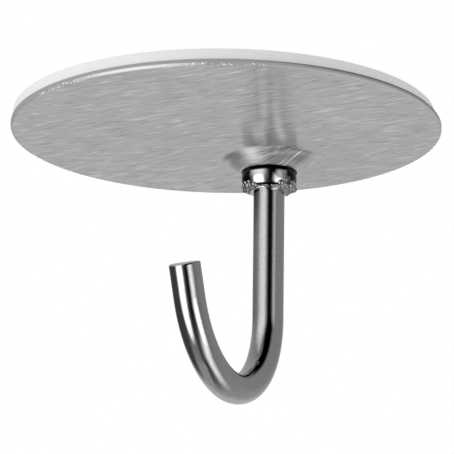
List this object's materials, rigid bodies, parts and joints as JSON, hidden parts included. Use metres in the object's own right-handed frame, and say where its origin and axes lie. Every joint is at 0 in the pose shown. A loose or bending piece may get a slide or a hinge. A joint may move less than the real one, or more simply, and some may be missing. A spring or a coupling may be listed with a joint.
{
  "type": "adhesive hook",
  "caption": "Round brushed-steel ceiling hook with a foam adhesive pad, a pressed boss, a collar and a polished bent-rod hook.",
  "frame": {"origin": "centre of the pad's adhesive face, which sticks to the ceiling", "axes": "+Z out of the adhesive face into the ceiling; the rod is bent in the XZ plane, its stem towards +X and its tip towards -X"},
  "size_m": [0.0697, 0.0696, 0.0475],
  "materials": {
    "brushed_plate": "brushed in one direction",
    "white_foam": "matte closed-cell foam",
    "polished_rod": "polished",
    "polished_collar": "polished"
  },
  "bodies": {
    "root": {"plate": "brushed_plate", "adhesive_pad": "white_foam", "hook": "polished_rod", "collar": "polished_collar"}
  },
  "joints": []
}
